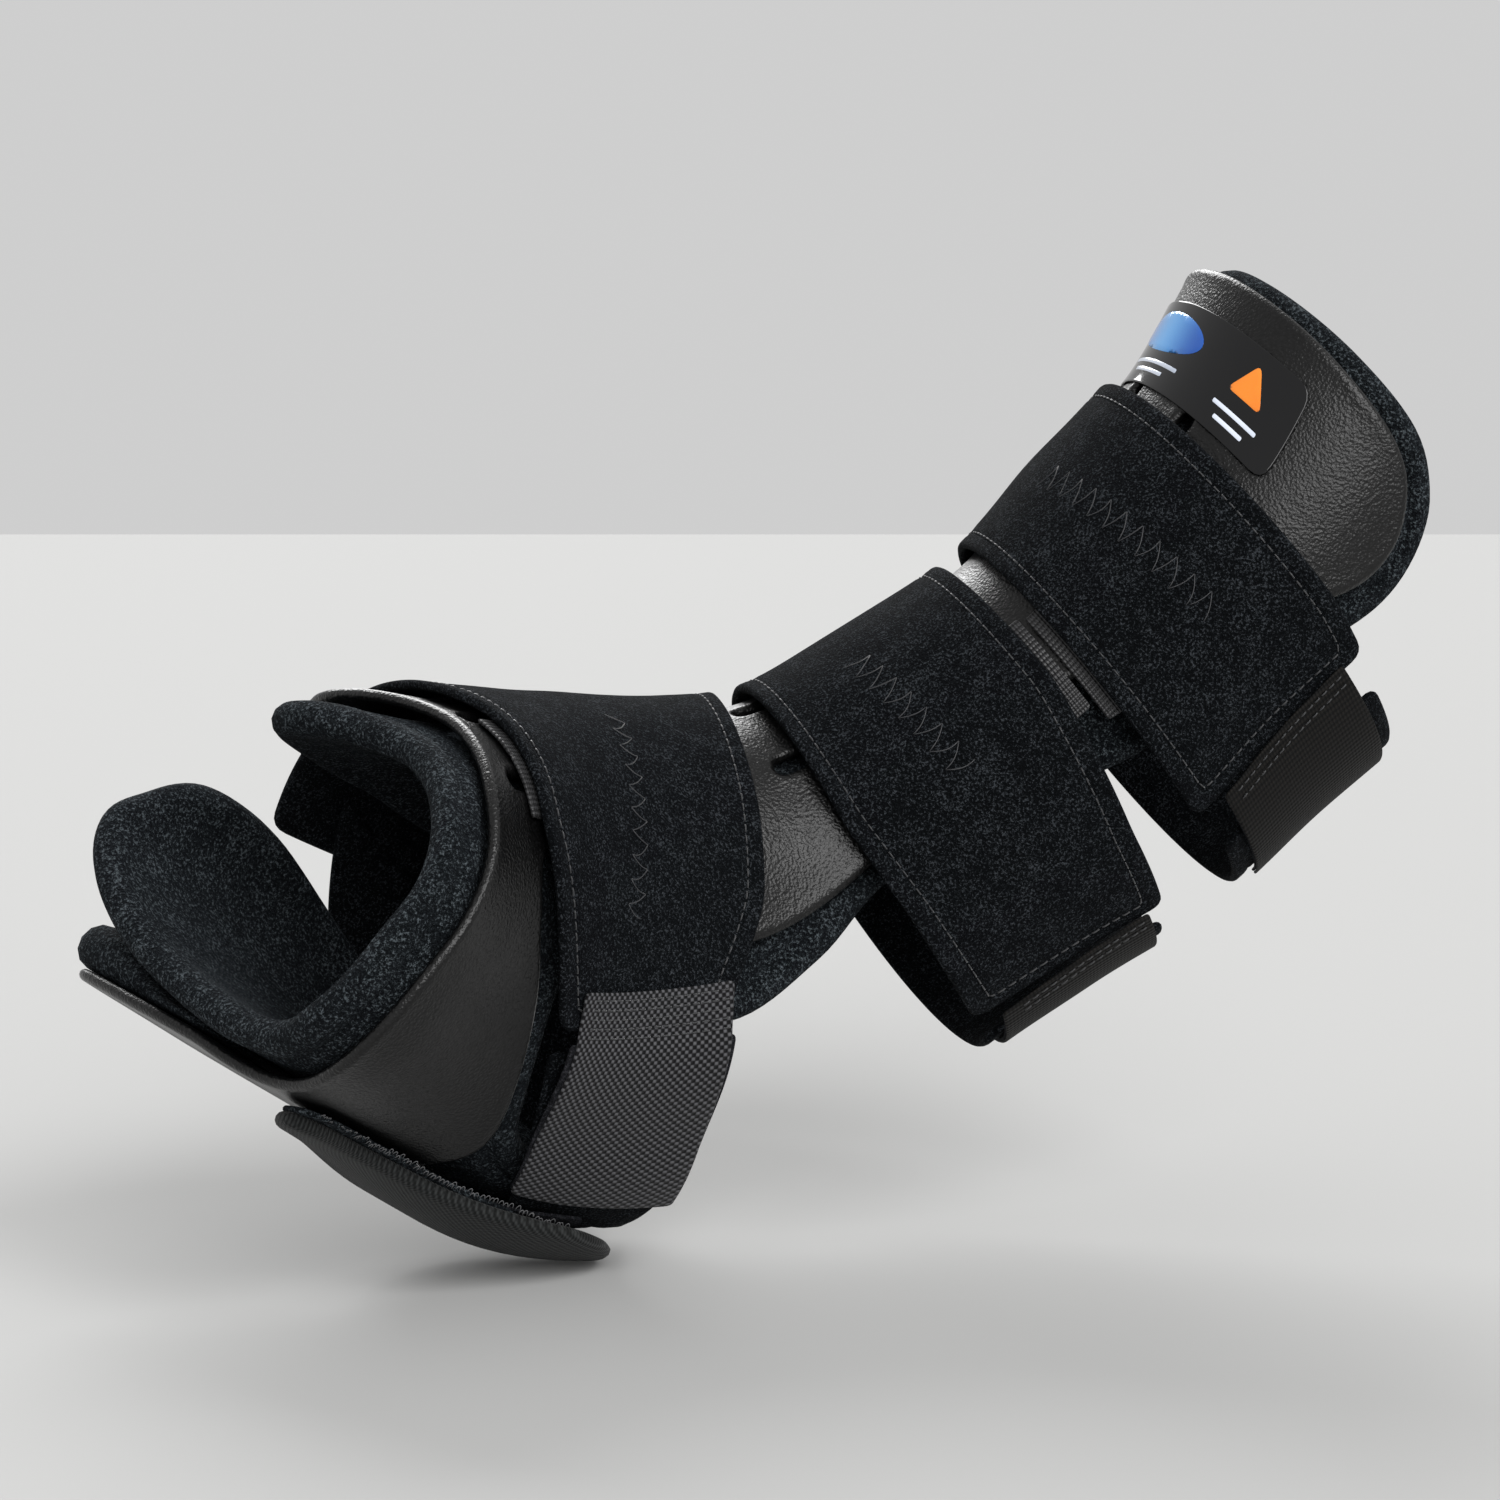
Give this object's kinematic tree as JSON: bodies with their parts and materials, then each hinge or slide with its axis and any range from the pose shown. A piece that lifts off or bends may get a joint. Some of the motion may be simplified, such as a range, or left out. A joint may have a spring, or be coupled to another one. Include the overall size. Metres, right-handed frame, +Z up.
{
  "type": "ankle foot orthosis",
  "caption": "Dorsal night splint: a rigid shin and forefoot shell with fleece liners, wide loop-pile straps and peel-open hook tabs.",
  "frame": {"origin": "the wearer's ankle centre, inside the splint, where the leg and foot hold it up", "axes": "+X from the toes toward the knee, level; +Z up with the leg reclined as worn at rest; +Y toward the wearer's far side"},
  "size_m": [0.3826, 0.2568, 0.2828],
  "materials": {
    "moulded_shell": "satin pebble grain",
    "fleece_liner": "brushed fleece",
    "strap_pile": "brushed loop pile",
    "hook_tape": "woven hook tape",
    "tab_tape": "woven twill tape",
    "webbing": "woven webbing",
    "label": "glossy film",
    "sole_pad_fabric": "woven laminate"
  },
  "bodies": {
    "root": {"far_flange_pad": "fleece_liner", "instep_strap_anchor_far": "webbing", "instep_strap_anchor_near": "webbing", "instep_strap_back": "strap_pile", "instep_strap_front": "strap_pile", "instep_strap_hook_patch": "hook_tape", "label_plate": "label", "liner_foot": "fleece_liner", "liner_hook_dot_1": "hook_tape", "liner_hook_dot_2": "hook_tape", "liner_hook_dot_3": "hook_tape", "liner_hook_dot_4": "hook_tape", "liner_hook_dot_5": "hook_tape", "liner_hook_dot_6": "hook_tape", "liner_shin": "fleece_liner", "lower_strap_anchor_far": "webbing", "lower_strap_anchor_near": "webbing", "lower_strap_front": "strap_pile", "lower_strap_hook_patch": "hook_tape", "shell": "moulded_shell", "sole_pad": "sole_pad_fabric", "sole_pad_tape": "hook_tape", "upper_strap_anchor_far": "webbing", "upper_strap_anchor_near": "webbing", "upper_strap_front": "strap_pile", "upper_strap_hook_patch": "hook_tape"},
    "upper_tab": {"upper_strap_tab": "tab_tape", "upper_strap_tab_hooks": "hook_tape"},
    "upper_back": {"upper_strap_back": "strap_pile"},
    "lower_tab": {"lower_strap_tab": "tab_tape", "lower_strap_tab_hooks": "hook_tape"},
    "lower_back": {"lower_strap_back": "strap_pile"},
    "instep_tab": {"instep_strap_tab": "tab_tape", "instep_strap_tab_hooks": "hook_tape"}
  },
  "joints": [
    {"name": "upper_tab_peel", "type": "hinge", "parent": "root", "child": "upper_tab", "pos_m": [0.14461, -0.03414, 0.09023], "axis": [-0.6668, -0.0161, -0.745], "range_deg": [0, 110]},
    {"name": "upper_back_swing", "type": "hinge", "parent": "root", "child": "upper_back", "pos_m": [0.11694, 0.08082, 0.10175], "axis": [0.6553, 0.1626, 0.7377], "range_deg": [0, 36]},
    {"name": "lower_tab_peel", "type": "hinge", "parent": "root", "child": "lower_tab", "pos_m": [0.08539, -0.02447, 0.02404], "axis": [-0.8255, -0.0618, -0.561], "range_deg": [0, 110]},
    {"name": "lower_back_swing", "type": "hinge", "parent": "root", "child": "lower_back", "pos_m": [0.04656, 0.06564, 0.05567], "axis": [0.8171, 0.2297, 0.5287], "range_deg": [0, 36]},
    {"name": "instep_tab_peel", "type": "hinge", "parent": "root", "child": "instep_tab", "pos_m": [-0.03493, -0.09847, 0.0185], "axis": [-0.7737, -0.6316, 0.0498], "range_deg": [0, 110]}
  ],
  "couplings": [
    {"joint": "upper_back_swing", "follows": "upper_tab_peel", "ratio": 0.32},
    {"joint": "lower_back_swing", "follows": "lower_tab_peel", "ratio": 0.32}
  ]
}
